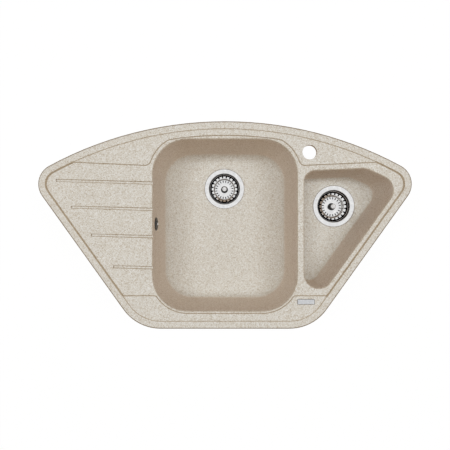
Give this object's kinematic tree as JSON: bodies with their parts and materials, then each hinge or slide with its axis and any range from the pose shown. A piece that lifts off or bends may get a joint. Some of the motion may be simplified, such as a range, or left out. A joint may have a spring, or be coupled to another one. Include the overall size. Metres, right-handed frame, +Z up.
{
  "type": "corner kitchen sink",
  "caption": "Inset corner kitchen sink in composite with a main bowl, a half bowl, a drainer, basket strainers, an overflow, linked wastes and fixing brackets.",
  "frame": {"origin": "centre of the outline, on the plane of the worktop that the rim rests on", "axes": "+X along the long side towards the half bowl, +Y towards the arched back, +Z up, out of the bowls"},
  "size_m": [0.9, 0.5, 0.384],
  "materials": {
    "composite": "fine-grained matt beige composite",
    "polished_steel": "polished stainless steel",
    "zinc_steel": "zinc-plated steel",
    "white_plastic": "satin moulded polypropylene",
    "black_plastic": "satin black",
    "black_rubber": "matt",
    "brass": "turned"
  },
  "bodies": {
    "sink": {"sink_body": "composite", "rim_seal": "black_rubber", "main_flange": "polished_steel", "main_upper_seal": "black_rubber", "main_lower_gasket": "black_rubber", "main_waste_body": "white_plastic", "main_centre_screw": "polished_steel", "main_insert_nut": "brass", "main_outlet_washer": "black_rubber", "main_outlet_nut": "white_plastic", "half_flange": "polished_steel", "half_upper_seal": "black_rubber", "half_lower_gasket": "black_rubber", "half_waste_body": "white_plastic", "half_centre_screw": "polished_steel", "half_insert_nut": "brass", "half_outlet_washer": "black_rubber", "half_outlet_nut": "white_plastic", "half_tailpiece": "white_plastic", "link_elbow": "white_plastic", "link_pipe": "white_plastic", "waste_tee": "white_plastic", "link_seals": "black_rubber", "overflow_cover": "black_plastic", "overflow_screw": "polished_steel", "overflow_seal": "black_rubber", "overflow_elbow": "white_plastic", "overflow_hose": "white_plastic", "hose_clamps": "zinc_steel", "clip_anchors": "white_plastic", "clip_brackets": "zinc_steel", "clip_screws": "zinc_steel"},
    "main_basket_unit": {"main_basket": "polished_steel", "main_basket_knob": "polished_steel", "main_basket_collar": "black_plastic", "main_basket_stem": "polished_steel", "main_basket_plug": "black_rubber", "main_basket_nut": "polished_steel"},
    "half_basket_unit": {"half_basket": "polished_steel", "half_basket_knob": "polished_steel", "half_basket_collar": "black_plastic", "half_basket_stem": "polished_steel", "half_basket_plug": "black_rubber", "half_basket_nut": "polished_steel"}
  },
  "joints": [
    {"name": "main_basket_lift", "type": "slide", "parent": "sink", "child": "main_basket_unit", "axis": [0, 0, 1], "range_m": [0, 0.24]},
    {"name": "half_basket_lift", "type": "slide", "parent": "sink", "child": "half_basket_unit", "axis": [0, 0, 1], "range_m": [0, 0.19]}
  ]
}
